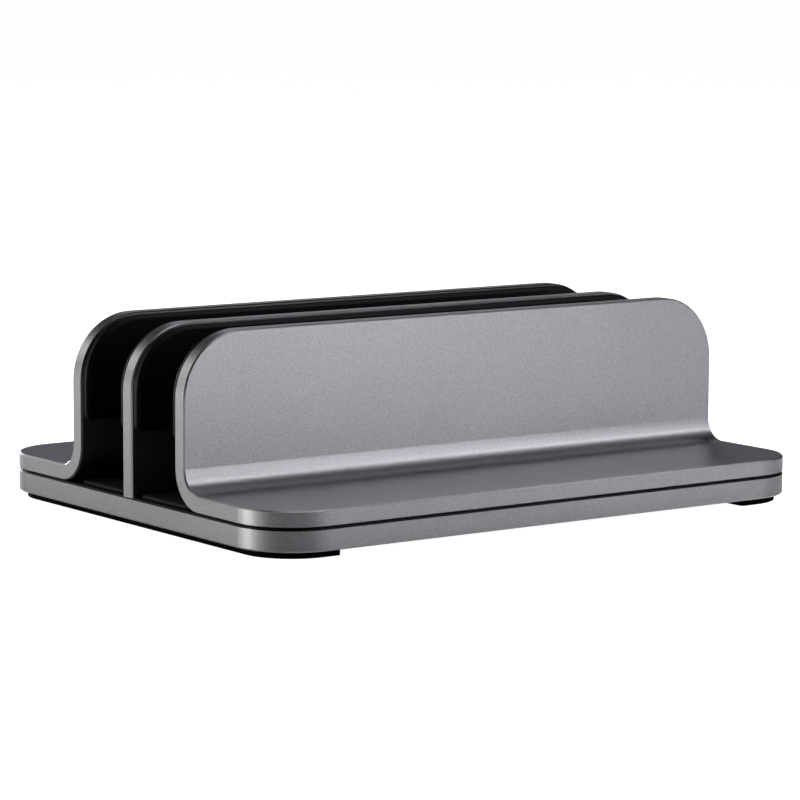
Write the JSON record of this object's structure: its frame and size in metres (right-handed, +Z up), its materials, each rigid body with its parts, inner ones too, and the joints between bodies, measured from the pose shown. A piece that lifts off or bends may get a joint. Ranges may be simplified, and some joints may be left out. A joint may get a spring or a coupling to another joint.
{
  "type": "vertical laptop stand",
  "caption": "Low aluminium stand that holds closed laptops upright in slots between L-shaped brackets and a divider plate, lined with black silicone pads.",
  "frame": {"origin": "centre of the footprint, at the level the feet rest on", "axes": "+X along the laptop slots, +Y towards the rear bracket, +Z up"},
  "size_m": [0.19, 0.148, 0.0574],
  "materials": {
    "aluminium": "bead-blasted, grey anodised",
    "silicone_pad": "smooth matt silicone",
    "slip_mat": "matt",
    "foot_rubber": "matt",
    "screw_steel": "black oxide",
    "washer_steel": "zinc plated"
  },
  "bodies": {
    "base": {"base_plate": "aluminium", "left_foot_strip": "foot_rubber", "right_foot_strip": "foot_rubber", "front_slip_mat": "slip_mat", "rear_slip_mat": "slip_mat", "front_floor_pad": "silicone_pad", "rear_floor_pad": "silicone_pad", "center_divider": "aluminium", "divider_front_pad": "silicone_pad", "divider_rear_pad": "silicone_pad", "divider_screw_left": "screw_steel", "divider_screw_middle": "screw_steel", "divider_screw_right": "screw_steel"},
    "front_slider": {"front_bracket": "aluminium", "front_bracket_pad": "silicone_pad", "clamp_washer_front_left": "washer_steel", "clamp_washer_front_right": "washer_steel"},
    "rear_slider": {"rear_bracket": "aluminium", "rear_bracket_pad": "silicone_pad", "clamp_washer_rear_left": "washer_steel", "clamp_washer_rear_right": "washer_steel"},
    "screw_front_left": {"clamp_screw_front_left": "screw_steel"},
    "screw_front_right": {"clamp_screw_front_right": "screw_steel"},
    "screw_rear_left": {"clamp_screw_rear_left": "screw_steel"},
    "screw_rear_right": {"clamp_screw_rear_right": "screw_steel"}
  },
  "joints": [
    {"name": "front_bracket_slide", "type": "slide", "parent": "base", "child": "front_slider", "axis": [0, -1, 0], "range_m": [-0.003, 0.012]},
    {"name": "rear_bracket_slide", "type": "slide", "parent": "base", "child": "rear_slider", "axis": [0, 1, 0], "range_m": [-0.003, 0.012]},
    {"name": "clamp_turn_front_left", "type": "hinge", "parent": "front_slider", "child": "screw_front_left", "pos_m": [-0.055, -0.05, 0.0045], "axis": [0, 0, 1], "range_deg": [-360, 0]},
    {"name": "clamp_turn_front_right", "type": "hinge", "parent": "front_slider", "child": "screw_front_right", "pos_m": [0.055, -0.05, 0.0045], "axis": [0, 0, 1], "range_deg": [-360, 0]},
    {"name": "clamp_turn_rear_left", "type": "hinge", "parent": "rear_slider", "child": "screw_rear_left", "pos_m": [-0.055, 0.05, 0.0045], "axis": [0, 0, 1], "range_deg": [-360, 0]},
    {"name": "clamp_turn_rear_right", "type": "hinge", "parent": "rear_slider", "child": "screw_rear_right", "pos_m": [0.055, 0.05, 0.0045], "axis": [0, 0, 1], "range_deg": [-360, 0]}
  ]
}
